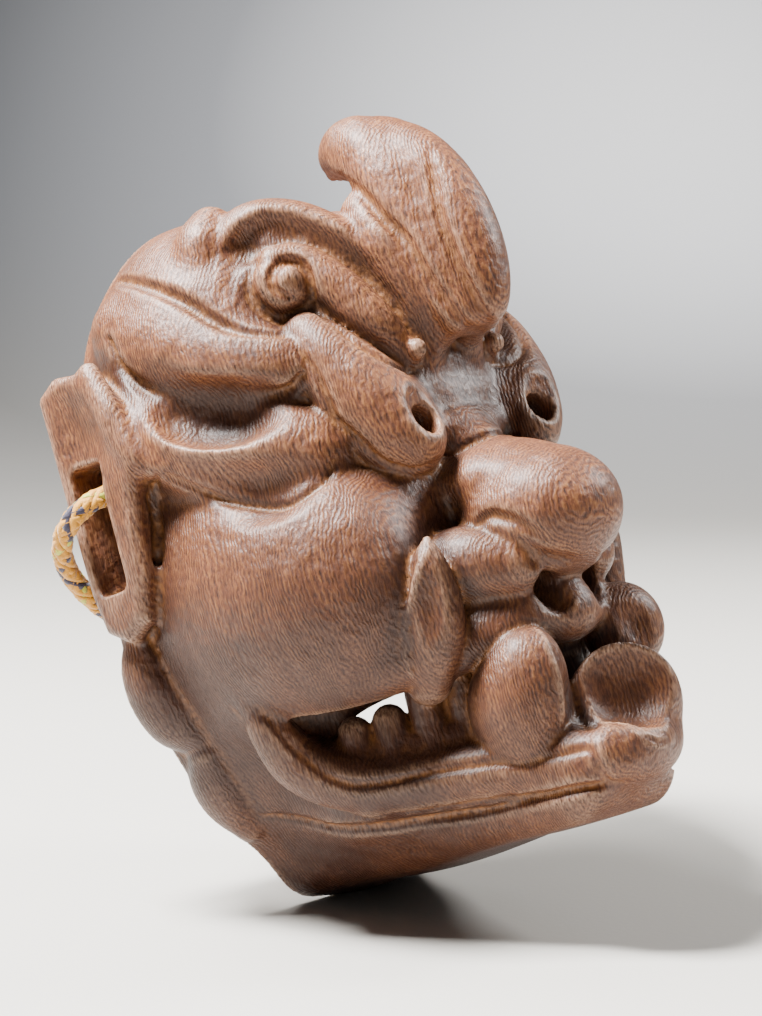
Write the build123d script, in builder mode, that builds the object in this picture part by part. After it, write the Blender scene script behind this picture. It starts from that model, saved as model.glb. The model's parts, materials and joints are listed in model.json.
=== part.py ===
"""A carved wooden demon mask and the braided cord that holds it on.

The wood is one block, laid out upright: its back rim is in the plane Y = 0, its face looks towards -Y and
its mirror plane is X = 0. Z = 0 is the level of the nostrils' top, near the middle of the ears. The block
is then leaned back about the X axis into its display pose. The cord hangs in that pose, so its points are
given in it. All sizes are in millimetres.
"""

import os
from math import cos, pi, radians, sin, tan

from build123d import *

# ---- the block ----
FACE_WIDTH = 186.0  # across the head at the temples, without the ears
HEAD_TOP = 129.0  # top of the head above Z = 0
CHIN_DROP = 133.0  # underside of the chin below Z = 0
HEAD_DEPTH = 90.0  # head, from the back rim to the plane of the face
LEAN = 20.0  # degrees that the mask leans back on display

# ---- how far the features stand forward of the back rim ----
NOSE_REACH = 158.0
LIP_REACH = 160.0  # lower lip, the foremost part
UPPER_LIP_REACH = 140.0
CREST_REACH = 144.0
CREST_TOP = 134.0  # top of the forelock above Z = 0

# ---- hollow, mouth and holes ----
WALL = 14.0  # wood between the side of the head and the hollow, at the rim
HOLLOW_DEPTH = 74.0
MOUTH_LEVEL = -77.0  # middle of the open mouth
MOUTH_GAPE = 30.0  # height of the open mouth at its widest
EYE_SPACING = 64.0  # between the middles of the two eye holes
EYE_LEVEL = 20.0
EYE_REACH = 112.0  # back rim to the front of the eyes
EYE_HOLE = 12.0  # bore of an eye hole
NOSTRIL = 9.0  # bore of a nostril, blind
NOSTRIL_DEPTH = 14.0

# ---- ears ----
EAR_STAND = 10.0  # outer face of the ear, out from the side of the head
EAR_THICKNESS = 17.0
EAR_SLOT_LENGTH = 46.0  # cord slot, along Z
EAR_SLOT_WIDTH = 16.0
EAR_BAND = 6.0  # wood left between the slot and the back rim, which the cord goes round
EAR_SLOT_LEVEL = 14.0

# ---- cord ----
CORD = 8.0  # diameter of the round braid
KNOT = 19.0  # stopper knot at each end, too large for the slot
KNOT_BITE = 2.0  # depth of the flat where the cord enters the knot

half_width = FACE_WIDTH / 2
ear_outer = half_width + EAR_STAND
SIDES = (-1, 1)


def lump(centre, half_sizes, turn=(0, 0, 0)):
    """A rounded lump of wood: an ellipsoid with its half-sizes along its own axes, turned, then placed."""
    ball = Sphere(1.0, mode=Mode.PRIVATE)
    return Location(centre, turn) * scale(ball, by=half_sizes, mode=Mode.PRIVATE)


def roll(start, end, width, height=None):
    """A spindle of wood from one point to another, as the rolls of hair, the lips and the tusks are."""
    along = Vector(*end) - Vector(*start)
    middle = Vector(*start) + along * 0.5
    ball = Sphere(1.0, mode=Mode.PRIVATE)
    spindle = scale(ball, by=(width / 2, (height or width) / 2, along.length / 2), mode=Mode.PRIVATE)
    return Plane(origin=middle, x_dir=(1, 0, 0.01), z_dir=along).location * spindle


# ---- head, cheeks, jaw and brow: the masses that the rest is carved on ----
with BuildPart() as masses:
    add(lump((0, 0, (HEAD_TOP - CHIN_DROP) / 2), (half_width, HEAD_DEPTH, (HEAD_TOP + CHIN_DROP) / 2)))
    add(lump((0, -60, 64), (64, 52, 50)))
    add(lump((0, -68, 34 - CHIN_DROP), (55, LIP_REACH - 70, 33)))
    for side in SIDES:
        add(lump((side * (half_width - 41), -60, -24), (42, 54, 50)))
        add(roll((side * 88, -6, -24), (side * 78, -14, -72), 28))
        add(roll((side * 74, -6, -66), (side * 48, -12, -108), 27))

# ---- nose and upper lip ----
with BuildPart() as nose:
    add(lump((0, 32 - NOSE_REACH, -24), (28, 32, 26)))
    add(roll((0, -98, 34), (0, -130, -26), 34))
    add(lump((0, 24 - UPPER_LIP_REACH, -58), (30, 24, 12)))
    for side in SIDES:
        add(lump((side * 24, -112, -37), (14, 19, 15)))

# ---- bulging eyes, with their holes bored level in the display pose ----
with BuildPart() as eyes:
    for side in SIDES:
        add(roll((side * (EYE_SPACING / 2 + 17), -76, 66), (side * (EYE_SPACING / 2), -114, 12), 37))

# ---- rolls of hair over the temples, the brow curls and the forelock ----
with BuildPart() as hair:
    for side in SIDES:
        add(roll((side * 88, -18, 86), (side * 54, -94, 44), 35))
        add(roll((side * 93, -16, 58), (side * 50, -98, 12), 39))
        add(roll((side * 12, -110, 40), (side * 50, -84, 106), 26))
        add(roll((side * 30, -88, 112), (side * 74, -58, 88), 30))
        add(lump((side * 64, -68, 82), (15, 15, 17)))
        add(lump((side * 48, -83, 82), (8, 8, 8)))
        add(roll((side * 46, -86, 86), (side * 16, -110, 42), 13))
with BuildPart() as forelock:
    add(lump((0, 26 - CREST_REACH, 84), (21, 26, 42), (-8, 0, 0)))
    add(roll((0, 20 - CREST_REACH, CREST_TOP - 22), (0, -72, CREST_TOP - 12), 34))
    add(roll((0, -96, 34), (0, -122, 108), 44))

# ---- ears, flat plates along the back rim ----
with BuildPart() as ears:
    for side in SIDES:
        with BuildSketch(Plane.YZ.offset(side * ear_outer)) as ear_outline:
            with BuildLine() as ear_edge:
                Polyline((0, 66), (-14, 72), (-28, 64), (-40, 34), (-26, 16), (-25, -8), (-16, -24),
                         (-6, -24), (0, -6), close=True)
            make_face()
            fillet(ear_outline.vertices(), 4)
        extrude(amount=-side * EAR_THICKNESS)

# ---- the hollow, open mouth, eye holes, nostrils and cord slots are cut from the fused masses ----
slot_middle = -(EAR_BAND + EAR_SLOT_WIDTH / 2)
with BuildPart() as block:
    add(masses.part)
    add(nose.part)
    add(hair.part)
    add(forelock.part)
    add(eyes.part)
    add(ears.part)
    split(bisect_by=Plane.XZ, keep=Keep.TOP)
    add(lump((0, 2, 4), (half_width - WALL, HOLLOW_DEPTH + 2, 102)), mode=Mode.SUBTRACT)
    add(lump((0, -44, 58), (51, 52, 42)), mode=Mode.SUBTRACT)
    add(lump((0, -58, -84), (45, 78, 26)), mode=Mode.SUBTRACT)
    add(roll((0, -40, 24), (0, -138, -22), 30), mode=Mode.SUBTRACT)
    for side in SIDES:
        add(lump((side * 39, -48, -22), (40, 54, 38)), mode=Mode.SUBTRACT)
        add(roll((side * 70, -34, MOUTH_LEVEL), (side * 46, -130, MOUTH_LEVEL), 26, 26), mode=Mode.SUBTRACT)
    add(lump((0, -94, MOUTH_LEVEL), (75, 74, MOUTH_GAPE / 2)), mode=Mode.SUBTRACT)

# ---- lips, teeth and tusks stand in the mouth ----
lip_top = MOUTH_LEVEL - MOUTH_GAPE / 2 - 3
with BuildPart() as mouth:
    add(lump((0, 20 - LIP_REACH, lip_top - 11), (40, 20, 10)))
    for side in SIDES:
        add(roll((side * 80, -40, MOUTH_LEVEL), (side * 22, -150, lip_top - 12), 20))
        add(roll((side * 66, -88, MOUTH_LEVEL + 12), (side * 12, 4 - UPPER_LIP_REACH, -62), 17))
        add(roll((side * 46, -116, -18), (side * 45, -98, -80), 22, 20))
        add(roll((side * 24, -136, -56), (side * 25, -114, lip_top - 14), 28, 26))
        for across, forward in ((7, 134), (19, 128), (34, 110), (42, 94)):
            add(lump((side * across, -forward, MOUTH_LEVEL - 9), (5, 5, 11)))
        for across, forward in ((6, 126), (38, 104)):
            add(lump((side * across, -forward, MOUTH_LEVEL + 10), (5, 5, 9)))

with BuildPart() as upright:
    add(block.part)
    add(mouth.part)
    for side in SIDES:
        with BuildSketch(Plane.YZ.offset(side * (ear_outer + 20))):
            with Locations((slot_middle, EAR_SLOT_LEVEL)):
                SlotOverall(EAR_SLOT_LENGTH, EAR_SLOT_WIDTH, rotation=90)
        extrude(amount=-side * (EAR_STAND + 20 + 40), mode=Mode.SUBTRACT)
        with BuildSketch(Plane((side * 12, -138, -58), z_dir=(0, 0, 1))):
            Circle(NOSTRIL / 2)
        extrude(amount=NOSTRIL_DEPTH, mode=Mode.SUBTRACT)

# ---- leaned back into the display pose; the eye holes are level there ----
lean = radians(LEAN)
eye_height = EYE_REACH * sin(lean) + EYE_LEVEL * cos(lean)
with BuildPart() as carved_mask:
    add(upright.part, rotation=(-LEAN, 0, 0))
    for side in SIDES:
        with BuildSketch(Plane.XZ.offset(20)):
            with Locations((side * EYE_SPACING / 2, eye_height)):
                Circle(EYE_HOLE / 2)
        extrude(amount=160, mode=Mode.SUBTRACT)
carved_mask.part.label = "carved_mask"
print("mask", carved_mask.part.is_valid, carved_mask.part.volume, carved_mask.part.bounding_box())

# ---- cord: from a knot in the hollow, out through a slot, round its band and across behind ----
half_route = (
    (72.0, -8.0, 29.0),
    (84.0, -8.0, 30.0),
    (97.0, -7.5, 30.0),
    (109.0, -3.0, 24.0),
    (109.0, 6.5, 12.5),
    (100.5, 12.0, 1.5),
    (88.5, 10.0, -10.5),
    (72.0, 8.5, -21.5),
    (46.0, 7.0, -30.5),
    (17.0, 6.0, -35.0),
)
route = [(-x, y, z) for x, y, z in half_route] + [(x, y, z) for x, y, z in reversed(half_route)]


def corner_radii(points):
    """The largest arc that each corner's two runs allow."""
    radii = []
    for before, corner, after in zip(points, points[1:], points[2:]):
        into = Vector(*corner) - Vector(*before)
        out = Vector(*after) - Vector(*corner)
        half_turn = radians(into.get_angle(out)) / 2
        radii.append(0.45 * min(into.length, out.length) / tan(half_turn))
    return radii


radii = corner_radii(route)
print("cord radii", [round(r, 1) for r in radii])
with BuildPart() as cord:
    with BuildLine() as cord_line:
        FilletPolyline(*route, radius=radii)
    with BuildSketch(Plane(cord_line.line @ 0, z_dir=cord_line.line % 0)):
        Circle(CORD / 2)
    sweep()
cord.part.label = "cord"
cord_length = sum(edge.length for edge in cord_line.edges())
print("cord length", cord_length, "volume ratio", cord.part.volume / (pi * (CORD / 2) ** 2 * cord_length))

# ---- stopper knots: each has a flat, square to the cord, where the cord's end meets it ----
end = Vector(*route[0])
inward = (end - Vector(*route[1])).normalized()
knot_middle = end + inward * (KNOT / 2 - KNOT_BITE)
with BuildPart() as right_knot:
    add(lump(tuple(knot_middle), (KNOT / 2, KNOT / 2, KNOT / 2)))
    split(bisect_by=Plane(end, z_dir=inward), keep=Keep.TOP)
right_knot.part.label = "right_knot"
with BuildPart() as left_knot:
    mirror(right_knot.part, about=Plane.YZ)
left_knot.part.label = "left_knot"

os.makedirs("parts", exist_ok=True)
export_step(carved_mask.part, "parts/carved_mask.step")
export_step(cord.part, "parts/cord.step")
export_step(right_knot.part, "parts/right_knot.step")
export_step(left_knot.part, "parts/left_knot.step")
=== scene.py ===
# %% [markdown]
# # A carved demon mask on its braided cord
# The mask is one block of timber, hollowed from behind, and a silk cord is tied through its ears.
# This lesson builds the two, gives them their finishes, and sets them on a plain floor in soft light.

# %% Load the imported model, the frame that every piece is placed in
import json
from math import cos, pi, radians, sin

import bpy
import numpy as np
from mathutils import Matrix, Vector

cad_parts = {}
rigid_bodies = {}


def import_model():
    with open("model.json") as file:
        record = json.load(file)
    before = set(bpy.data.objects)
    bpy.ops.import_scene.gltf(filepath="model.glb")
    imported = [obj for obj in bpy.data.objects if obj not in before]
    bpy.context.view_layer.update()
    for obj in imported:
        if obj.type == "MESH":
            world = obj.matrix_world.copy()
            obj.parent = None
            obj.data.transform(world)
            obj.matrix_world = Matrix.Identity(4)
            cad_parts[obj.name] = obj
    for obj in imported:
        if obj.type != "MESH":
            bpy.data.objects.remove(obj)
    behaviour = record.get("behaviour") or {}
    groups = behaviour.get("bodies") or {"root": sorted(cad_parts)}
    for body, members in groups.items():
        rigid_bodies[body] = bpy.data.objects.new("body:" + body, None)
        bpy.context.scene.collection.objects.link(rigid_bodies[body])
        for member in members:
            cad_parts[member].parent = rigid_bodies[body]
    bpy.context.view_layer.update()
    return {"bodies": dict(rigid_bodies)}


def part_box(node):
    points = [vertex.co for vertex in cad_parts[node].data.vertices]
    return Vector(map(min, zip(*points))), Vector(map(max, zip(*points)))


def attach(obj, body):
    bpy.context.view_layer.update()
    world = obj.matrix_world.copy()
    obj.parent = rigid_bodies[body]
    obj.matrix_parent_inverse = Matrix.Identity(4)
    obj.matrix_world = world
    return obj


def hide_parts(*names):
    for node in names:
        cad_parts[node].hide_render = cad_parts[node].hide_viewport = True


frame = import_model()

import openvdb
from mathutils import Vector

BODY = list(frame["bodies"])[0]
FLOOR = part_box("carved_mask")[0][2]
LEAN = radians(20)  # the mask leans back on display
MM = 0.001

# %% [markdown]
# ## The camera
# The camera looks at the mask's right side from a little above its eyes, through a long portrait lens,
# as an object is shown in a catalogue. It is set first, so that each piece can be judged in it.

# %% Camera
AZIMUTH = radians(-49)
ELEVATION = radians(7)
DISTANCE = 1.1
AIM = Vector((0.0, -0.0536, 0.0195))

toward_camera = Vector((sin(AZIMUTH) * cos(ELEVATION), -cos(AZIMUTH) * cos(ELEVATION), sin(ELEVATION)))
bpy.ops.object.camera_add(location=AIM + toward_camera * DISTANCE)
camera = bpy.context.object
camera.name = "camera"
camera.rotation_euler = (-toward_camera).to_track_quat("-Z", "Y").to_euler()
camera.data.lens = 105.2
camera.data.sensor_width = 36
camera.data.dof.use_dof = False
bpy.context.scene.camera = camera
print("camera at", [round(c, 3) for c in camera.location])

# %% [markdown]
# ## Carving in a block of air
# A carver's forms run into each other: a roll of hair sinks into the temple, and a groove parts it from
# the next. Primitives joined by hand can't melt together like that, each by its own amount. So the block
# is a grid of distances instead: every cell holds how far it is from the surface, less than nothing in
# the wood. A form is blended in, or carved away, and the surface is meshed once at the end.
# The grid stands upright, in millimetres, with the back rim at Y = 0 and the face towards -Y.

# %% The block's grid, and the ways to add and to carve
STEP = 1.3
LOW = np.array((-113.0, -174.0, -142.0))
HIGH = np.array((113.0, 5.0, 144.0))
COUNT = np.ceil((HIGH - LOW) / STEP).astype(int) + 1
AXES = [(LOW[i] + STEP * np.arange(COUNT[i])).astype(np.float32) for i in range(3)]
FAR = 40.0
wood = np.full(COUNT, FAR, np.float32)
NEAR, OTHER = -1, 1  # the side nearer the camera, and the other
BOTH = (NEAR, OTHER)


def window(low, high, pad):
    """The part of the grid that a form can change, and the coordinates in it."""
    first = np.maximum(np.floor((np.array(low) - pad - LOW) / STEP).astype(int), 0)
    last = np.minimum(np.ceil((np.array(high) + pad - LOW) / STEP).astype(int) + 1, COUNT)
    cut = tuple(slice(a, b) for a, b in zip(first, last))
    x, y, z = (AXES[i][cut[i]] for i in range(3))
    return cut, x[:, None, None], y[None, :, None], z[None, None, :]


def turned(turn):
    """Rotation matrix from degrees about X, then Y, then Z."""
    a, b, c = (radians(t) for t in turn)
    about_x = np.array(((1, 0, 0), (0, cos(a), -sin(a)), (0, sin(a), cos(a))))
    about_y = np.array(((cos(b), 0, sin(b)), (0, 1, 0), (-sin(b), 0, cos(b))))
    about_z = np.array(((cos(c), -sin(c), 0), (sin(c), cos(c), 0), (0, 0, 1)))
    return about_z @ about_y @ about_x


def blend(cut, distance, soft, carve=False):
    """Melt a form into the wood, or carve it out, rounding the join over a width of soft."""
    a = wood[cut]
    b = distance.astype(np.float32)
    if carve:
        a, b = -a, b
    mix = np.clip(soft - np.abs(a - b), 0, None)
    joined = np.minimum(a, b) - mix * mix / (4 * soft)
    wood[cut] = -joined if carve else joined


def mirrored(centre, side):
    return np.array((centre[0] * -side, centre[1], centre[2]), float)


def lump(centre, half, turn=(0, 0, 0), soft=3.0, sides=(NEAR,), carve=False):
    """A rounded lump. A form is given on the near side, and mirrored for the other."""
    reach = max(half)
    for side in sides:
        middle = mirrored(centre, side)
        rotation = turned(turn) * np.array((1, -side, -side))[:, None] * np.array((1, -side, -side))[None, :]
        cut, x, y, z = window(middle - reach, middle + reach, soft + 5)
        x, y, z = x - middle[0], y - middle[1], z - middle[2]
        own = [(rotation[0, i] * x + rotation[1, i] * y + rotation[2, i] * z) / half[i] for i in range(3)]
        size = np.sqrt(own[0] ** 2 + own[1] ** 2 + own[2] ** 2)
        slope = np.sqrt(sum((own[i] / half[i]) ** 2 for i in range(3)))
        blend(cut, (size - 1) * size / np.maximum(slope, 1e-6), soft, carve)


def smooth_path(points, parts=6):
    """Points along a smooth curve through the given ones, each with its own radius."""
    p = np.array(points, float)
    p = np.vstack((2 * p[0] - p[1], p, 2 * p[-1] - p[-2]))
    p[:, 3] = np.clip(p[:, 3], 0.3, None)
    t = np.linspace(0, 1, parts, endpoint=False)[:, None]
    spans = []
    for a, b, c, d in zip(p, p[1:], p[2:], p[3:]):
        spans.append(0.5 * (2 * b + (c - a) * t + (2 * a - 5 * b + 4 * c - d) * t**2
                            + (3 * b - a - 3 * c + d) * t**3))
    return np.vstack((*spans, p[-2]))


def roll(points, soft=2.5, sides=(NEAR,), carve=False, parts=6, flat=None):
    """A roll along a path of (x, y, z, radius), as a lock of hair, a lip or a groove is.

    flat=(axis, factor) makes it thinner along an axis.
    """
    for side in sides:
        path = smooth_path(points, parts)
        path[:, 0] *= -side
        reach = path[:, 3].max()
        cut, x, y, z = window(path[:, :3].min(0) - reach, path[:, :3].max(0) + reach, soft + 3)
        squeeze = np.ones(3)
        if flat:
            squeeze[flat[0]] = flat[1]
        x, y, z = x * squeeze[0], y * squeeze[1], z * squeeze[2]
        path[:, :3] *= squeeze
        nearest = None
        for start, end in zip(path, path[1:]):
            along = end[:3] - start[:3]
            t = ((x - start[0]) * along[0] + (y - start[1]) * along[1] + (z - start[2]) * along[2])
            t = np.clip(t / max(along @ along, 1e-9), 0, 1)
            gap = np.sqrt((x - start[0] - t * along[0]) ** 2 + (y - start[1] - t * along[1]) ** 2
                          + (z - start[2] - t * along[2]) ** 2) - (start[3] + t * (end[3] - start[3]))
            nearest = gap if nearest is None else np.minimum(nearest, gap)
        blend(cut, nearest / (flat[1] if flat and flat[1] > 1 else 1), soft, carve)


def slab(centre, half, rounding, soft=3.0, front_width=1.0, carve=False):
    """A rounded block, narrower at the front by front_width."""
    cut, x, y, z = window(np.array(centre) - half, np.array(centre) + half, soft + 5)
    share = np.clip((centre[1] + half[1] - y) / (2 * half[1]), 0, 1)
    x = np.abs(x - centre[0]) / (1 + share * (front_width - 1))
    gaps = [x - half[0] + rounding, np.abs(y - centre[1]) - half[1] + rounding,
            np.abs(z - centre[2]) - half[2] + rounding]
    outside = np.sqrt(sum(np.clip(g, 0, None) ** 2 for g in gaps))
    inside = np.minimum(np.maximum(np.maximum(gaps[0], gaps[1]), gaps[2]), 0)
    blend(cut, outside + inside - rounding, soft, carve)


def height_at(points, grid=None):
    """What the grid holds at any points, from the eight cells round each."""
    grid = wood if grid is None else grid
    place = (points - LOW) / STEP
    base = np.clip(np.floor(place).astype(int), 0, COUNT - 2)
    part = place - base
    value = np.zeros(len(points))
    for corner in np.ndindex(2, 2, 2):
        share = np.prod([part[:, i] if corner[i] else 1 - part[:, i] for i in range(3)], axis=0)
        cell = base + corner
        value += share * grid[cell[:, 0], cell[:, 1], cell[:, 2]]
    return value


def slope_at(points):
    nudge = STEP * np.eye(3)
    slope = np.stack([height_at(points + nudge[i]) - height_at(points - nudge[i]) for i in range(3)], 1)
    return slope / np.maximum(np.linalg.norm(slope, axis=1, keepdims=True), 1e-6)


def line(points, width, depth, soft=1.2, sides=BOTH, raised=False):
    """A line cut with a gouge, or left standing, that follows the surface near the given points."""
    for side in sides:
        path = smooth_path([(*p, width) for p in points], 8)
        path[:, 0] *= -side
        place = path[:, :3]
        for _ in range(6):
            place = place - slope_at(place) * height_at(place)[:, None]
        out = slope_at(place)
        lift = (width - depth) * (-1 if raised else 1)
        taper = np.sin(np.linspace(0.12, np.pi - 0.12, len(path))) ** 0.5
        path[:, :3] = place + out * lift
        path[:, 3] = width * taper
        path[:, 0] *= -side
        roll(path, soft, (side,), carve=not raised, parts=1)


def tell(step):
    print(step, int((wood < 0).sum()), "cells of wood")


print("grid", COUNT, "cells", int(np.prod(COUNT)))

# %% [markdown]
# ## The masses
# A carver first saws the block and rounds its big forms: the head, the brow, the cheeks and the jaw.
# Rounded lumps with a wide blend do the same, because nothing here has an edge yet.

# %% Head, brow, cheeks and jaw: the masses
lump((0, 0, -2), (93, 90, 131), soft=4)
lump((-46, -38, 58), (44, 46, 58), soft=10, sides=BOTH)
lump((0, -60, 62), (58, 50, 50), soft=10)
lump((0, -62, -30), (48, 43, 46), soft=8)
lump((-58, -40, -20), (35, 44, 56), soft=10, sides=BOTH)
lump((-53, -56, -27), (43, 55, 51), soft=8, sides=BOTH)
lump((-24, -88, -6), (26, 22, 28), soft=10, sides=BOTH)
lump((0, -50, -98), (56, 62, 35), soft=8)
slab((0, -60, -114), np.array((46, 80, 17)), 15, soft=10, front_width=0.62)
lump((0, -108, -110), (34, 42, 18), soft=8)
tell("masses")

# %% [markdown]
# ## The jaw lobes
# Behind the cheek the beard hangs in short lobes along the rim. Each is one fat roll.

# %% Jaw lobes along the back rim
roll([(-86, -9, -26, 8), (-85, -6, -42, 12), (-80, -7, -55, 12.5), (-75, -12, -66, 7)], 1.2, BOTH)
roll([(-73, -11, -72, 8), (-64, -6, -85, 12), (-55, -6, -98, 9)], 1.2, BOTH)
tell("jaw lobes")

# %% [markdown]
# ## The hair
# Two thick rolls of hair sweep from the back rim to the eye. A roll is a path whose thickness changes.

# %% Rolls of hair over the temple
roll([(-74, -26, 82, 13), (-73, -42, 71, 17), (-69, -57, 60, 18.5), (-63, -71, 53, 17), (-57, -81, 49, 13)],
     4, BOTH)
roll([(-80, -16, 53, 13), (-78, -34, 41, 19), (-73, -52, 30, 21.5), (-66, -66, 23, 21), (-59, -77, 19, 19),
      (-54, -82, 19, 16)], 4, BOTH)
tell("hair")

# %% [markdown]
# ## The brow
# The brow is the richest carving: a crest, a valley beside it, and a lock that curls round a ball.
# The rolls come first and the gouged lines after, so that each line cuts what it parts.

# %% Brow: an outer band, then a crest, a valley, and a lock that curls round a ball
lump((-42, -68, 82), (24, 19, 20), soft=6, sides=BOTH)
roll([(-54, -60, 108, 9), (-60, -59, 102, 10), (-63, -57, 93, 10), (-64, -61, 83, 9), (-63, -70, 73, 7)], 2,
     BOTH)
roll([(-11, -107, 47, 6), (-16, -105, 62, 8.5), (-22, -99, 79, 10), (-30, -93, 91, 10.5),
      (-37, -84, 99, 11.5),
      (-45, -76, 103, 11), (-51, -70, 102, 9.5), (-56, -67, 94, 8), (-60, -69, 83, 6.5), (-59, -74, 73, 4)],
     2, BOTH)
line([(-20, -112, 48), (-28, -112, 64), (-31, -106, 77), (-37, -100, 88), (-45, -93, 96), (-53, -85, 101),
      (-60, -77, 96), (-65, -76, 85), (-63, -77, 72)], 9, 4.5, 2.5)
roll([(-52, -83, 88, 6.5), (-44, -88, 85, 8), (-37, -95, 74, 9), (-31, -102, 60, 8.5), (-22, -105, 47, 6)],
     0.8, BOTH)
lump((-51, -83, 80), (11, 11, 11.5), soft=0.8, sides=BOTH)
line([(-47, -92, 70), (-47, -94, 79), (-51, -93, 86), (-56, -91, 87), (-60, -88, 82), (-60, -88, 77),
      (-56, -90, 74)], 2.4, 2.8)
line([(-54, -83, 95), (-62, -80, 90), (-64, -79, 82), (-61, -79, 73), (-57, -87, 67), (-47, -89, 69)], 2.4, 2)
lump((-54, -89.5, 80.5), (4.2, 4.2, 4.2), soft=0.8, sides=BOTH)
lump((-22, -112, 46), (3.6, 3.6, 3.6), soft=0.8, sides=BOTH)
tell("brow")

# %% [markdown]
# ## The eyes
# Each eye is a roll that points forward and is bored at its end, for the wearer to see through.

# %% Bulging eyes
roll([(-50, -88, 59, 9), (-47, -92, 48, 13.5), (-41, -97, 33, 17.5), (-36, -102, 21, 17),
      (-33, -106, 15, 14)], 1.2, BOTH)
tell("eyes")

# %% [markdown]
# ## The nose
# A broad dome with a wing on each side. The root between the eyes is a low, smooth rise.

# %% Nose and its root
lump((0, -104, 2), (17, 18, 17), soft=8)
lump((0, -114, -6), (27, 25, 15), soft=4)
lump((0, -127, -22), (29, 32, 25), soft=4)
roll([(-27, -102, -31, 11), (-28, -113, -34, 14.5), (-21, -125, -37, 12.5)], 1.5, BOTH)
lump((0, -98, 31), (36, 13, 24), soft=8)
lump((0, -105, 18), (21, 8, 6), soft=5)
roll([(0, -104, -50, 16), (0, -114, -54, 12)], 5)
line([(-24, -108, 9), (-12, -116, 10), (0, -118, 10)], 2.4, 3)
line([(-31, -119, -24), (-28, -128, -20), (-25, -137, -24), (-20, -144, -32)], 2.6, 2)
tell("nose")

# %% [markdown]
# ## The upper lip
# One roll from cheek to cheek, over a mass that carries the nose.

# %% Upper lip
lump((0, -94, -54), (42, 40, 13), soft=6)
roll([(-70, -58, -56, 7), (-56, -84, -61, 9), (-40, -104, -62, 9), (-20, -122, -58, 8), (0, -129, -58, 8)],
     8, BOTH)
tell("upper lip")

# %% [markdown]
# ## The forelock
# Bands of hair stand on each other in steps and end in a hook. A narrow blend keeps the steps clear.

# %% Forelock: three stepped bands that sweep up to a hooked tip
roll([(-13, -97, 106, 8), (-17, -101, 98, 9.5), (-19, -107, 86, 9), (-14, -112, 66, 8), (-7, -114, 51, 6.5)],
     3, BOTH)
roll([(-2, -79, 123, 3), (-4, -87, 127, 9), (-6, -98, 124, 13.5), (-8, -108, 107, 14), (-9, -114, 90, 12.5),
      (-9, -118, 72, 11), (-6, -121, 57, 9.5), (0, -123, 49, 8.5)], 0.8, BOTH)
lump((0, -124, 84), (15.5, 17.5, 38), (-8, 0, 0), soft=0.8)
lump((-14, -86, 109), (12, 14, 9), (0, 0, -20), soft=4, sides=BOTH, carve=True)
roll([(0, -104, 121, 14), (0, -114, 113, 14.5), (0, -120, 103, 14)], 3)
line([(-9, -132, 116), (-14, -133, 104), (-16, -132, 88), (-15, -133, 72), (-9, -133, 57), (0, -131, 48)],
     2.6, 2.2)
line([(-20, -97, 116), (-25, -111, 101), (-23, -119, 86), (-18, -123, 68), (-10, -126, 51), (0, -128, 41)],
     2.6, 2)
lump((0, -124, 37), (19, 13, 12), soft=5, carve=True)
print("outer forms", round(float(wood.min()), 1))

# %% [markdown]
# ## The creases
# A gouge leaves a round groove, deep where two rolls meet and wide under each roll.

# %% Creases between the rolls, and the scooped undersides that the gouge left
line([(-90, -30, 79), (-90, -34, 66), (-88, -46, 54), (-84, -62, 46), (-75, -75, 42), (-66, -87, 40),
      (-63, -94, 44)], 3, 4, 2)
line([(-91, -36, 68), (-88, -52, 56), (-82, -66, 48), (-75, -80, 44), (-68, -89, 44)], 13, 4.2, 3)
line([(-77, -26, 104), (-79, -44, 94), (-78, -58, 84), (-77, -72, 73), (-72, -82, 66), (-62, -90, 62)], 2.6,
     3, 2)
line([(-98, -39, 40), (-95, -56, 24), (-87, -72, 14), (-76, -85, 10), (-67, -92, 9)], 13, 3.6, 3)
line([(-100, -38, 33), (-94, -51, 18), (-86, -65, 9), (-79, -84, 3), (-68, -93, 5), (-60, -97, 14)], 1.8, 2)
line([(-62, -94, 54), (-62, -97, 42), (-61, -98, 29), (-54, -102, 16), (-47, -105, 7), (-39, -110, 3),
      (-32, -114, 6)], 1.8, 2)
line([(-47, -88, 69), (-47, -102, 57), (-43, -108, 46), (-33, -110, 38), (-18, -107, 40)], 1.8, 2)
line([(-62, -17, -100), (-58, -38, -112), (-52, -60, -116), (-40, -88, -118), (-30, -122, -118),
      (-10, -146, -117)], 2.4, 2.4)
tell("creases")

# %% [markdown]
# ## The ears
# An ear is a flat plate, so it is cut to an outline and only its edge is rounded. The slot for the cord
# is made as a function here, and cut last, when the wall behind it is done.

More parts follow.
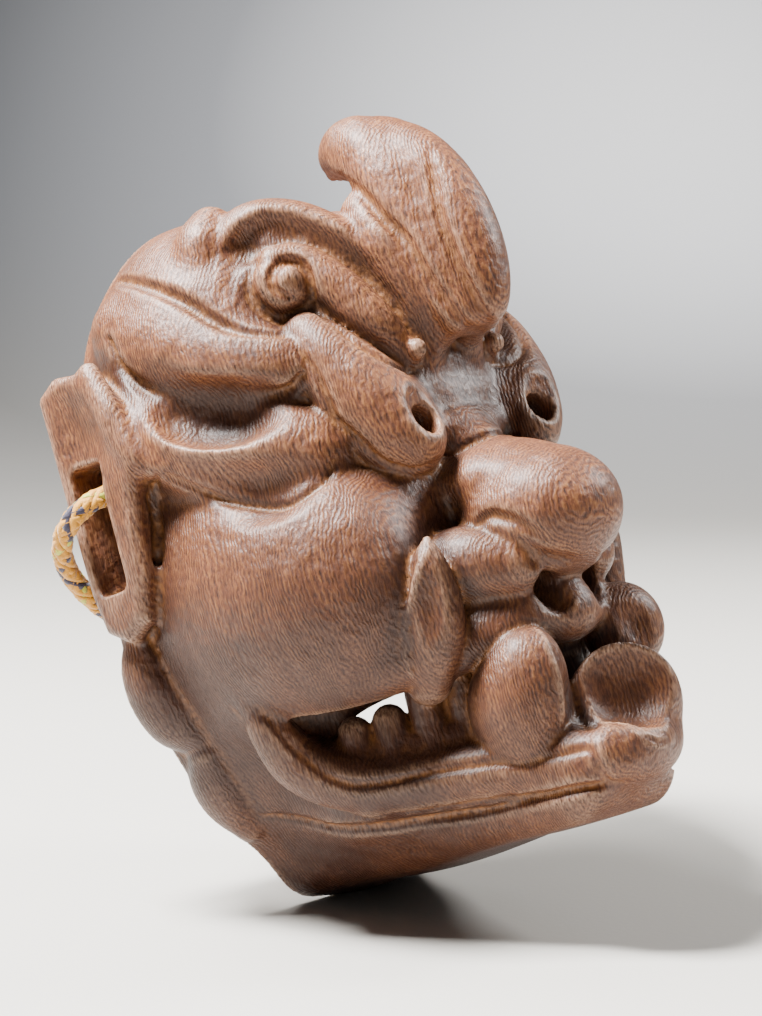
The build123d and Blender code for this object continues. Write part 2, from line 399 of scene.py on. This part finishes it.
# %% Ears: plates along the back rim
def ear_plate(sides=BOTH):
    """A plate cut to the ear's outline, with a rounded edge."""
    outline = np.array(((1, 66), (-9, 71), (-21, 69), (-34, 52), (-40, 33), (-35, 21), (-32, 8), (-30, -8),
                        (-25, -23), (-14, -29), (-4, -23), (-1, -8), (0, 24)), float)
    for side in sides:
        low = np.array((-104.0 if side == NEAR else 84.0, -42, -30))
        high = np.array((-84.0 if side == NEAR else 104.0, 2, 74))
        cut, x, y, z = window(low, high, 6)
        inside = np.zeros(np.broadcast_shapes(y.shape, z.shape), bool)
        edge = np.full(inside.shape, 1e9)
        for a, b in zip(outline, np.roll(outline, -1, axis=0)):
            along = b - a
            t = np.clip(((y - a[0]) * along[0] + (z - a[1]) * along[1]) / (along @ along), 0, 1)
            edge = np.minimum(edge, np.hypot(y - a[0] - t * along[0], z - a[1] - t * along[1]))
            crosses = ((a[1] > z) != (b[1] > z))
            inside ^= crosses & (y < a[0] + along[0] * (z - a[1]) / (along[1] if along[1] else 1e-9))
        edge = np.where(inside, -edge, edge)
        across = np.abs(np.abs(x) - 94.5) - 7.5
        round_by = 4.5
        a, b = edge + round_by, across + round_by
        plate = np.hypot(np.clip(a, 0, None), np.clip(b, 0, None)) + np.minimum(np.maximum(a, b),
                                                                                0) - round_by
        blend(cut, plate, 2)


def ear_slot(low_end, high_end, middle, half_width):
    """The long hole for the cord, straight through the ear and the wall behind it."""
    for side in BOTH:
        ends = np.array((side * 74.0, side * 120.0))
        low, high = (ends.min(), middle - half_width, low_end), (ends.max(), middle + half_width, high_end)
        cut, x, y, z = window(low, high, 4)
        hole = np.hypot(y - middle, z - np.clip(z, low_end, high_end)) - half_width
        blend(cut, np.maximum(hole, 74 - np.abs(x)), 1.5, carve=True)


ear_plate()
lump((-111, -17, 47), (13, 13, 24), soft=5, sides=BOTH, carve=True)
roll([(-96, -24, 68, 4), (-98, -31, 52, 5), (-97, -36, 36, 5), (-93, -42, 27, 4)], 3, BOTH)
line([(-95, -44, 26), (-91, -32, 14), (-92, -25, -2), (-91, -17, -24), (-88, -14, -34)], 2.4, 2.6)
tell("ears")

# %% [markdown]
# ## The mouth
# The mouth is carved out first. Gums, teeth and lips are then added inside what was taken away.

# %% Open mouth, with its gums, teeth and lips
roll([(-75, -46, -69, 4), (-66, -60, -73, 9), (-54, -75, -79, 12), (-41, -91, -82, 13),
      (-27, -108, -83, 13), (-11, -122, -83, 13), (0, -127, -83, 13)], 2, BOTH, carve=True)
lump((0, -66, -77), (50, 50, 11), soft=3, carve=True)
roll([(-66, -44, -82, 5), (-55, -60, -88, 8), (-43, -78, -90, 9), (-30, -96, -91, 9), (-15, -112, -91, 9),
      (0, -118, -91, 9)], 3, BOTH)
for x, y, top in ((-55, -66, -80), (-48, -77, -79), (-40, -88, -72), (-31, -98, -71), (-20, -109, -71),
                  (-8, -116, -71)):
    roll([(x, y, top, 6.3), (x, y, -104, 6.9)], 0.5, BOTH, parts=1)
for x, y, z in ((-7, -119, -66), (-20, -112, -67), (-32, -100, -68)):
    roll([(x, y, z + 6, 5.8), (x, y, z - 5, 4.8)], 0.6, BOTH, parts=2)
roll([(-80, -46, -60, 5), (-77, -48, -72, 8), (-69, -51, -86, 10), (-57, -64, -97, 11),
      (-44, -83, -102, 11.5), (-30, -107, -105, 11.5), (-15, -126, -106, 11.5), (0, -133, -107, 12)], 3, BOTH)
lump((0, -143, -109), (24, 9, 12), soft=6)
line([(-84, -52, -63), (-76, -57, -82), (-65, -68, -97), (-48, -94, -101), (-36, -112, -104),
      (-24, -130, -108), (-10, -143, -111)], 1.6, 1.6)
line([(-86, -40, -60), (-80, -40, -80), (-68, -42, -96), (-60, -58, -106), (-50, -78, -111),
      (-36, -106, -115), (-18, -134, -118)], 2.6, 2.2)
tell("mouth")

# %% [markdown]
# ## Tusks and tongue
# The tusks and the tongue stand free of the lips, so they join the wood with hardly any blend.

# %% Tusks, and the tongue that curls over the lip
roll([(-50, -117, -23, 1.5), (-50, -115, -31, 6), (-48, -110, -43, 10.5), (-46, -105, -56, 11.5),
      (-45, -97, -70, 8)], 0.6, BOTH)
line([(-56, -121, -29), (-57, -117, -46), (-54, -108, -64)], 11, 2.4, 1, BOTH)
line([(-52, -120, -25), (-58, -115, -34), (-60, -107, -48), (-57, -100, -62), (-53, -99, -71)], 1.5, 1.4, 0.8,
     BOTH, raised=True)
roll([(-22, -129, -62, 2.5), (-25, -124, -73, 13.5), (-25, -118, -83, 18), (-23, -115, -93, 17.5)], 0.8)
line([(-24, -130, -63), (-27, -137, -74), (-25, -137, -88), (-25, -132, -98)], 2.2, 1.6, 1.5, (NEAR,),
     raised=True)
line([(-19, -137, -74), (-17, -138, -86), (-17, -134, -96)], 9, 2, 1.5, (NEAR,))
lump((27, -130, -67), (16, 10, 16.5), (0, 0, -25), soft=1.5)
line([(18, -136, -62), (24, -138, -68), (28, -136, -76)], 12, 2.4, 2, (NEAR,))
roll([(-6, -124, -98, 10), (3, -131, -96, 13), (9, -137, -94, 15), (13, -137, -93, 13)], 2)
lump((8, -136, -95), (21, 10, 24), (24, 0, -42), soft=4)
lump((-4, -156, -82), (25, 17, 25), (28, 0, -42), soft=1.5, carve=True)
for step in range(3):
    inset = 2.3 * step
    line([(-13 + inset, -135, -93 + inset), (-15 + inset, -142, -101 + inset), (-8, -149, -109 + inset),
          (4, -151, -112 + inset), (13, -151, -108 + inset)], 1.3, 1.0, 0.6, (NEAR,), raised=True)
tell("tusks and tongue")

# %% [markdown]
# ## The nostrils
# Each is a short tapering hole that ends in the wood.

# %% Nostrils
roll([(-12, -136, -53, 5.5), (-13, -127, -43, 5), (-14, -118, -36, 3)], 2, BOTH, carve=True)
line([(-8, -146, -44), (-14, -139, -36), (-18, -133, -27)], 4, 1.6, 2)
tell("nostrils")

# %% [markdown]
# ## The hollow
# The back is hollowed for the face, the eyes are bored level, and the rim is cut flat by a saw.

# %% The hollow, the cut rim and the cord slots
hollow = [((0, 2, 4), (79, 76, 102)), ((0, -42, 56), (48, 42, 40)), ((0, -52, -82), (42, 56, 22))]
for centre, half in hollow:
    lump(centre, half, soft=8, carve=True)
lump((-39, -42, -22), (36, 38, 34), soft=8, sides=BOTH, carve=True)
ear_slot(low_end=-5, high_end=32, middle=-14, half_width=7.5)
eye = np.array((-32.5, -112.0, 18.0))
level = np.array((0.0, cos(LEAN), -sin(LEAN)))
EYE_HOLE = 6  # radius that the eyes are bored to, in millimetres
roll([(*(eye - 12 * level), EYE_HOLE), (*(eye + 70 * level), EYE_HOLE)], 1.2, BOTH, carve=True, parts=1)
lump(tuple(eye - 9 * level), (10.5, 4.5, 11.5), (-20, 0, 0), soft=1.5, sides=BOTH, carve=True)
cut, x, y, z = window(LOW, HIGH, 0)
wood = np.maximum(wood, y + 0 * x + 0 * z)
print("carved; wood cells", int((wood < 0).sum()))

# %% [markdown]
# ## From the grid to a mesh
# The surface is meshed where the distance is nothing, thinned to a sensible count, and leaned back.
# A blurred copy of the grid then tells each point how sharply the wood folds there: above nothing on an
# edge, below it in a groove. The finish uses that for dust, for wear and for painted shade in the hollows.

# %% Mesh the block
MOST_TRIANGLES = 190_000


def only(piece):
    bpy.ops.object.select_all(action="DESELECT")
    piece.select_set(True)
    bpy.context.view_layer.objects.active = piece


def mesh_of(grid, name):
    """Mesh the surface of the grid, and lean it back into place, in metres."""
    level_set = openvdb.FloatGrid()
    level_set.copyFromArray(np.ascontiguousarray(grid, dtype=np.float32))
    points, triangles, quads = level_set.convertToPolygons(0.0, 0.0)
    places = points.astype(float) * STEP + LOW
    leaned = np.stack((places[:, 0], places[:, 1] * cos(LEAN) + places[:, 2] * sin(LEAN),
                       places[:, 2] * cos(LEAN) - places[:, 1] * sin(LEAN)), 1) * MM
    faces = [tuple(int(i) for i in q) for q in quads] + [tuple(int(i) for i in t) for t in triangles]
    mesh = bpy.data.meshes.new(name)
    mesh.from_pydata(leaned.tolist(), [], faces)
    mesh.update()
    piece = bpy.data.objects.new(name, mesh)
    bpy.context.collection.objects.link(piece)
    only(piece)
    count = len(triangles) + 2 * len(quads)
    if count > MOST_TRIANGLES:
        thin = piece.modifiers.new("thin", "DECIMATE")
        thin.ratio = MOST_TRIANGLES / count
        bpy.ops.object.modifier_apply(modifier="thin")
    bpy.ops.object.mode_set(mode="EDIT")
    bpy.ops.mesh.select_all(action="SELECT")
    bpy.ops.mesh.normals_make_consistent(inside=False)
    bpy.ops.object.mode_set(mode="OBJECT")
    bpy.ops.object.shade_smooth()
    return piece


def blurred(grid, cells):
    """The grid averaged over a cube of cells each way, twice."""
    for axis in (0, 1, 2, 0, 1, 2):
        pad = [(cells + 1, cells) if i == axis else (0, 0) for i in range(3)]
        total = np.cumsum(np.pad(grid, pad, mode="edge"), axis=axis, dtype=np.float64)
        wide = 2 * cells + 1
        ahead = [slice(wide, None) if i == axis else slice(None) for i in range(3)]
        behind = [slice(None, -wide) if i == axis else slice(None) for i in range(3)]
        grid = ((total[tuple(ahead)] - total[tuple(behind)]) / wide).astype(np.float32)
    return grid


def write_fold(piece, name, cells):
    """Write on each point how much the wood bulges there, in millimetres."""
    place = np.empty(len(piece.data.vertices) * 3)
    piece.data.vertices.foreach_get("co", place)
    place = place.reshape(-1, 3) / MM
    upright = np.stack((place[:, 0], place[:, 1] * cos(LEAN) - place[:, 2] * sin(LEAN),
                        place[:, 1] * sin(LEAN) + place[:, 2] * cos(LEAN)), 1)
    value = height_at(upright, blurred(np.clip(wood, -12, 12), cells))
    piece.data.attributes.new(name, "FLOAT", "POINT").data.foreach_set("value", value.astype(np.float32))
    print(name, np.percentile(value, (1, 10, 50, 90, 99)).round(2))


mask = mesh_of(wood, "carved_wood")
write_fold(mask, "fold", 1)
write_fold(mask, "recess", 5)
mask.data.calc_loop_triangles()
print("mask triangles", len(mask.data.loop_triangles))
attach(mask, BODY)
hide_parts("carved_mask")

# %% [markdown]
# ## The finishes
# The timber has fine growth layers that lie flat behind one another, so they show as rings on each bulge
# that faces forward and as near-upright lines on the sides. The soft early wood has sunk a little between
# them. Old ochre dust fills the grooves, and handling has paled the edges.

# %% Tools for the finishes
def srgb(code):
    """A colour's sRGB hex code as linear red, green, blue and alpha."""
    parts = [int(code[i:i + 2], 16) / 255 for i in (1, 3, 5)]
    return (*[p / 12.92 if p <= 0.04045 else ((p + 0.055) / 1.055) ** 2.4 for p in parts], 1.0)


def new_material(name, **constants):
    """A material with constants set on its shader's sockets, and that shader."""
    material = bpy.data.materials.new(name)
    material.use_nodes = True
    shader = material.node_tree.nodes["Principled BSDF"]
    for socket, value in constants.items():
        shader.inputs[socket.replace("_", " ")].default_value = value
    return material, shader


def node(material, kind, links=None, **settings):
    """Add a node with its settings, and link or set its inputs."""
    made = material.node_tree.nodes.new(kind)
    for name, value in settings.items():
        setattr(made, name, value)
    for name, source in (links or {}).items():
        if hasattr(source, "is_output"):
            material.node_tree.links.new(source, made.inputs[name])
        else:
            made.inputs[name].default_value = source
    return made


def sums(material, operation, *inputs):
    """A math node's result."""
    return node(material, "ShaderNodeMath", dict(enumerate(inputs)), operation=operation).outputs[0]


def ranged(material, value, low, high, to_low=0.0, to_high=1.0):
    """A value's place between low and high, held to that range."""
    settings = {"Value": value, "From Min": low, "From Max": high, "To Min": to_low, "To Max": to_high}
    return node(material, "ShaderNodeMapRange", settings).outputs[0]


def grain(material, where, size, detail=2.0):
    """Noise whose features are size across, in the units of where."""
    return node(material, "ShaderNodeTexNoise",
                {"Vector": where, "Scale": 1 / size, "Detail": detail}).outputs[0]


def mixed(material, share, first, second):
    """Two colours mixed by a share."""
    made = node(material, "ShaderNodeMix", data_type="RGBA")
    for socket, source in zip((made.inputs[0], made.inputs[6], made.inputs[7]), (share, first, second)):
        if hasattr(source, "is_output"):
            material.node_tree.links.new(source, socket)
        else:
            socket.default_value = source
    return made.outputs[2]


# %% [markdown]
# ## The wood
# Zelkova has fine growth layers that a curved cut shows as wavy lines. It is stained dark in patches and
# darker low down, has painted shade in its hollows, and is rubbed pale on its edges and dusty in its grooves.

# %% Carved timber
def carved_timber():
    material, shader = new_material("waxed_timber", Specular_IOR_Level=0.34, Coat_Weight=0.1,
                                    Coat_Roughness=0.34)
    place = node(material, "ShaderNodeTexCoord").outputs["Object"]
    upright = node(material, "ShaderNodeMapping", {"Vector": place, "Rotation": (LEAN, 0, 0),
                                                   "Scale": (1 / MM, 1 / MM, 1 / MM)}).outputs[0]
    along = node(material, "ShaderNodeMapping", {"Vector": upright, "Scale": (1, 1, 0.22)}).outputs[0]
    split = node(material, "ShaderNodeSeparateXYZ", {0: upright})
    fold = node(material, "ShaderNodeAttribute", attribute_name="fold").outputs["Fac"]
    recess = node(material, "ShaderNodeAttribute", attribute_name="recess").outputs["Fac"]

    swell = sums(material, "MULTIPLY", sums(material, "SUBTRACT", grain(material, along, 30), 0.5), 20.0)
    waver = sums(material, "MULTIPLY", sums(material, "SUBTRACT", grain(material, upright, 3.4, 3), 0.5), 2.4)
    layer = sums(material, "ADD", sums(material, "ADD", split.outputs["Y"], swell), waver)
    fine = sums(material, "SINE", sums(material, "MULTIPLY", layer, 2 * pi / FINE_LAYER))
    broad = sums(material, "SINE", sums(material, "MULTIPLY", layer, 2 * pi / BROAD_LAYER))
    pores = grain(material, along, 0.75, 3)
    line_now = sums(material, "ADD", sums(material, "MULTIPLY", fine, 0.12), pores)

    timber = node(material, "ShaderNodeValToRGB", {"Fac": line_now})
    stops = timber.color_ramp.elements
    stops[0].position, stops[0].color = 0.2, srgb("#2b140b")
    stops[1].position, stops[1].color = 0.85, srgb("#9a673f")
    middle = stops.new(0.47)
    middle.color = srgb("#683c25")
    colour = mixed(material, ranged(material, broad, -1, 1, 0.0, 0.38), timber.outputs[0], srgb("#54301f"))
    patches = ranged(material, grain(material, upright, 48, 3), 0.38, 0.68)
    # Darker towards the bottom, least at the front of the face.
    low = sums(material, "MULTIPLY", ranged(material, split.outputs["Z"], 12, -42),
               ranged(material, split.outputs["Y"], -140, -85, 0.2, 1.0))
    # Painted shade: the hollows are darkened, as where shade falls in them.
    painted_hollow_shade = ranged(material, recess, 0.4, -1.8)
    stain_and_painted_shade = sums(material, "ADD", sums(material, "MULTIPLY", patches, 0.35),
                 sums(material, "ADD", sums(material, "MULTIPLY", low, 0.62),
                      sums(material, "MULTIPLY", painted_hollow_shade, 0.7)))
    # Mixing in #260f07 darkens the wood by the stain patches, more low down, and by the painted shade in the
    # hollows.
    colour = mixed(material, sums(material, "MINIMUM", stain_and_painted_shade, 0.85), colour, srgb("#260f07"))
    wear = sums(material, "MULTIPLY", ranged(material, fold, 0.1, 0.45), ranged(material, pores, 0.3, 0.7))
    colour = mixed(material, sums(material, "MULTIPLY", wear, 0.55), colour, srgb("#b39278"))
    speckle = ranged(material, grain(material, upright, 2.0, 5), 0.3, 0.7)
    dust = sums(material, "MULTIPLY", ranged(material, fold, -0.05, -0.55), speckle)
    colour = mixed(material, sums(material, "MULTIPLY", dust, 0.5), colour, srgb("#a8703f"))
    material.node_tree.links.new(colour, shader.inputs["Base Color"])
    rough = ranged(material, line_now, 0.2, 0.8, 0.6, 0.4)
    material.node_tree.links.new(rough, shader.inputs["Roughness"])

    chisel = node(material, "ShaderNodeBump", {"Height": grain(material, upright, 9, 2), "Distance": 1.6 * MM,
                                               "Strength": 1.0})
    ridges = sums(material, "ADD", sums(material, "MULTIPLY", fine, 0.2), pores)
    relief = node(material, "ShaderNodeBump", {"Height": ridges, "Distance": 0.27 * MM, "Strength": 1.0,
                                               "Normal": chisel.outputs[0]})
    material.node_tree.links.new(relief.outputs[0], shader.inputs["Normal"])
    return material


FINE_LAYER = 1.3  # spacing of the growth layers, in millimetres
BROAD_LAYER = 9.0
mask.data.materials.append(carved_timber())
print("materials", [m.name for m in mask.data.materials])

# %% [markdown]
# ## The cord
# Twelve strands cross over and under each other round a line, six turning each way. The line is a smooth
# curve on the same points as the cord's route in the model, from a knot inside the mask, out through the
# ear, round its back edge, across behind and in through the other ear.

# %% Cord, on the same points as its route in the model
half_route = ((72, -8, 29), (84, -8, 30), (97, -8, 30), (108, -4.5, 24), (107.5, 4.5, 13), (100, 10, 1.5),
              (88.5, 10, -10.5), (72, 8.5, -21.5), (46, 7, -30.5), (17, 6, -35))
route = [(-x, y, z) for x, y, z in half_route] + [(x, y, z) for x, y, z in reversed(half_route)]
curve = bpy.data.curves.new("cord_line", "CURVE")
curve.dimensions = "3D"
spline = curve.splines.new("NURBS")
spline.points.add(len(route) - 1)
for point, place in zip(spline.points, route):
    point.co = (*(c * MM for c in place), 1)
spline.order_u = 3
spline.use_endpoint_u = True
spline.resolution_u = 12
cord_line = bpy.data.objects.new("cord_line", curve)
bpy.context.collection.objects.link(cord_line)
bpy.context.view_layer.update()
line_mesh = bpy.data.meshes.new_from_object(cord_line)
cord_path = np.array([v.co for v in line_mesh.vertices])
bpy.data.objects.remove(cord_line)


def evenly(path, gap):
    """Points a gap apart along a path, and its length."""
    reached = np.concatenate(((0,), np.cumsum(np.linalg.norm(np.diff(path, axis=0), axis=1))))
    steps = np.linspace(0, reached[-1], int(reached[-1] / gap) + 2)
    return np.stack([np.interp(steps, reached, path[:, i]) for i in range(3)], 1), reached[-1]


def frames_along(path):
    """Two directions square to the path at each point, that don't twist."""
    tangent = np.gradient(path, axis=0)
    tangent /= np.linalg.norm(tangent, axis=1, keepdims=True)
    across = np.cross(tangent[0], (0.3, 0.2, 0.9))
    first = []
    for t in tangent:
        across = across - t * (across @ t)
        across /= np.linalg.norm(across)
        first.append(across)
    first = np.array(first)
    return first, np.cross(tangent, first), tangent


def braided(path, name, radius=4 * MM, strands=12, pitch=26 * MM, sides=6):
    """A mesh of strands braided round the path, with each strand's dye written on it."""
    path, length = evenly(path, 1.0 * MM)
    first, second, tangent = frames_along(path)
    reached = np.linspace(0, length, len(path))
    points, faces, dyes = [], [], []
    thick = radius * 0.2
    for strand in range(strands):
        way = 1 if strand % 2 else -1
        start = 2 * pi * (strand // 2) / (strands // 2)
        angle = start + way * 2 * pi * reached / pitch
        weave = (strands // 2) * (2 * pi * reached / pitch) + way * (strands // 2) * start / 2
        over = np.sin(weave + pi * (way > 0))
        out = (radius - thick * 1.25 + over * thick * 0.3)[:, None]
        radial = first * np.cos(angle)[:, None] + second * np.sin(angle)[:, None]
        middle = path + radial * out
        run = np.gradient(middle, axis=0)
        run /= np.linalg.norm(run, axis=1, keepdims=True)
        side = np.cross(run, radial)
        offset = len(points)
        for turn in np.linspace(0, 2 * pi, sides, endpoint=False):
            points.extend(middle + radial * cos(turn) * thick * 0.95 + side * sin(turn) * thick * 1.9)
        count = len(path)
        offset_of = [offset + ring * count for ring in range(sides)]
        for ring in range(sides):
            a, b = offset_of[ring], offset_of[(ring + 1) % sides]
            faces.extend((a + i, a + i + 1, b + i + 1, b + i) for i in range(count - 1))
        faces.append(tuple(offset_of[::-1]))
        faces.append(tuple(o + count - 1 for o in offset_of))
        dyes.extend([DYES[strand % len(DYES)]] * (count * sides))
    mesh = bpy.data.meshes.new(name)
    mesh.from_pydata([tuple(p) for p in points], [], faces)
    mesh.attributes.new("dye", "FLOAT", "POINT").data.foreach_set("value", dyes)
    mesh.update()
    piece = bpy.data.objects.new(name, mesh)
    bpy.context.collection.objects.link(piece)
    only(piece)
    bpy.ops.object.mode_set(mode="EDIT")
    bpy.ops.mesh.select_all(action="SELECT")
    bpy.ops.mesh.normals_make_consistent(inside=False)
    bpy.ops.object.mode_set(mode="OBJECT")
    bpy.ops.object.shade_smooth()
    return piece, length


GOLD, NAVY, LIME = 0.0, 0.5, 1.0
DYES = (GOLD, GOLD, NAVY, NAVY, GOLD, GOLD, GOLD, LIME, GOLD, GOLD, GOLD, GOLD)
cord, cord_length = braided(cord_path, "braided_cord")
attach(cord, BODY)
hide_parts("cord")
print("cord length", round(cord_length, 4))

# %% [markdown]
# ## The knots
# A knot keeps the cord from slipping out. It is the same braid along a trefoil, a closed knotted loop.

# %% Stopper knots, one inside each ear
LOOP_SIZE, LOOP_WIDTH = 1.75, 2.4  # of a trefoil's loops, in millimetres
knots = []
turns = np.linspace(0, 2 * pi, 90)
for side, name in ((1, "right_knot"), (-1, "left_knot")):
    middle = np.array(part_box(name)).mean(0)
    swing = (2 + np.cos(3 * turns)) * LOOP_SIZE
    loop = np.stack((np.sin(3 * turns) * LOOP_WIDTH, swing * np.cos(2 * turns), swing * np.sin(2 * turns)), 1)
    knot, _ = braided(middle + loop * MM, f"tied_{name}")
    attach(knot, BODY)
    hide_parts(name)
    knots.append(knot)

# %% [markdown]
# ## The silk
# Gold silk with strands of navy and lime. Each strand carries its dye as an attribute, so the colours
# follow the braid, with a fine fibre noise over them.

# %% Dyed silk
def dyed_silk():
    material, shader = new_material("dyed_silk", Roughness=0.6, Sheen_Weight=0.3, Specular_IOR_Level=0.35)
    place = node(material, "ShaderNodeTexCoord").outputs["Object"]
    dye = node(material, "ShaderNodeAttribute", attribute_name="dye").outputs["Fac"]
    ramp = node(material, "ShaderNodeValToRGB", {"Fac": dye})
    ramp.color_ramp.interpolation = "CONSTANT"
    stops = ramp.color_ramp.elements
    stops[0].position, stops[0].color = 0.0, srgb("#c98a16")
    stops[1].position, stops[1].color = 0.25, srgb("#1d2440")
    lime = stops.new(0.75)
    lime.color = srgb("#b9b93a")
    fibre = grain(material, place, 0.5 * MM, 3)
    colour = mixed(material, ranged(material, fibre, 0.35, 0.7, 0.0, 0.35), ramp.outputs[0], srgb("#5a3408"))
    material.node_tree.links.new(colour, shader.inputs["Base Color"])
    bump = node(material, "ShaderNodeBump", {"Height": fibre, "Distance": 0.25 * MM, "Strength": 1.0})
    material.node_tree.links.new(bump.outputs[0], shader.inputs["Normal"])
    return material


silk = dyed_silk()
for piece in (cord, *knots):
    piece.data.materials.append(silk)

# %% [markdown]
# ## The setting
# A pale sheet runs level under the mask and curves up behind it, so there is no horizon. Further back it is
# painted with a pool of light behind the nose that falls away into painted shade, a dark grey, at the upper
# left.

# %% Backdrop
COVE_START, COVE_RADIUS, WALL_TOP, HALF_SHEET = 1.0, 0.9, 2.2, 2.6
away = Vector((-toward_camera.x, -toward_camera.y, 0)).normalized()
sideways = Vector((away.y, -away.x, 0))


def backdrop():
    """A level sheet that curves up into a wall behind the mask."""
    profile = [(-1.8, 0.0), (-0.6, 0.0), (0.4, 0.0)]
    for step in range(17):
        turn = pi / 2 * step / 16
        profile.append((COVE_START + COVE_RADIUS * sin(turn), COVE_RADIUS * (1 - cos(turn))))
    profile.append((COVE_START + COVE_RADIUS, WALL_TOP))
    points = [away * out + Vector((0, 0, FLOOR + up)) + sideways * (HALF_SHEET * edge)
              for out, up in profile for edge in (-1, 1)]
    faces = [(2 * i, 2 * i + 1, 2 * i + 3, 2 * i + 2) for i in range(len(profile) - 1)]
    mesh = bpy.data.meshes.new("backdrop")
    mesh.from_pydata(points, [], faces)
    sheet = bpy.data.objects.new("backdrop", mesh)
    bpy.context.collection.objects.link(sheet)
    only(sheet)
    bpy.ops.object.shade_smooth()
    return sheet


def sheet_with_painted_light():
    material, shader = new_material("sheet_with_painted_light", Roughness=0.75, Specular_IOR_Level=0.2)
    place = node(material, "ShaderNodeTexCoord").outputs["Object"]
    # Painted light and shade: the colour is lightest at this point and is painted darker with distance from
    # it.
    painted_light_centre = away * (COVE_START + COVE_RADIUS) + sideways * 0.36 + Vector((0, 0, -0.02))
    from_painted_light_centre = node(material, "ShaderNodeVectorMath", {0: place, 1: painted_light_centre},
                       operation="DISTANCE").outputs["Value"]
    painted_light_falloff = node(material, "ShaderNodeValToRGB", {"Fac": ranged(material, from_painted_light_centre, 0.1, 0.85)})
    stops = painted_light_falloff.color_ramp.elements
    stops[0].position, stops[0].color = 0.0, srgb("#e4e3e1")
    stops[1].position, stops[1].color = 1.0, srgb("#2b2c2e")
    for position, code in ((0.35, "#b6b6b8"), (0.62, "#6f7073")):
        stops.new(position).color = srgb(code)
    # The near floor keeps one plain colour; the painted light and shade take over further back.
    behind = node(material, "ShaderNodeVectorMath", {0: place, 1: away},
                  operation="DOT_PRODUCT").outputs["Value"]
    settings = {"Value": behind, "From Min": 0.25, "From Max": 1.7}
    far_part = node(material, "ShaderNodeMapRange", settings, interpolation_type="SMOOTHSTEP").outputs[0]
    colour = mixed(material, far_part, srgb("#bdb9b2"), painted_light_falloff.outputs[0])
    material.node_tree.links.new(colour, shader.inputs["Base Color"])
    crinkle = node(material, "ShaderNodeTexVoronoi", {"Vector": place, "Scale": 1 / (4 * MM)},
                   feature="DISTANCE_TO_EDGE").outputs["Distance"]
    bump = node(material, "ShaderNodeBump", {"Height": crinkle, "Distance": 0.25 * MM, "Strength": 0.3})
    material.node_tree.links.new(bump.outputs[0], shader.inputs["Normal"])
    return material


floor = backdrop()
floor.data.materials.append(sheet_with_painted_light())
print("backdrop faces", len(floor.data.polygons))


# %% [markdown]
# ## The lights
# A key from the upper left models the forms, a soft light behind it adds sheen to the upper faces, a weak
# one at the right opens the shadows, and one more brightens the backdrop.

# %% Lights
def soft_light(name, place, power, size, aim=(0, -0.06, 0.02)):
    bpy.ops.object.light_add(type="AREA", location=place)
    light = bpy.context.object
    light.name = name
    light.data.energy = power
    light.data.size = size
    light.rotation_euler = (Vector(aim) - Vector(place)).to_track_quat("-Z", "Y").to_euler()
    return light


soft_light("key", (-0.5, 0.3, 1.22), 150, 0.36)
soft_light("sheen", (-0.1, 0.62, 1.05), 20, 0.5)
soft_light("right", (0.9, -0.6, 0.7), 20, 0.3)
bright_spot = away * 1.5 + sideways * 0.34
soft_light("backdrop_light", away * 0.8 + sideways * 0.5 + Vector((0, 0, 0.85)), 9, 0.5, bright_spot)
world = bpy.data.worlds.new("room")
bpy.context.scene.world = world
world.use_nodes = True
world.node_tree.nodes["Background"].inputs["Color"].default_value = srgb("#dfe1e4")
world.node_tree.nodes["Background"].inputs["Strength"].default_value = 0.11
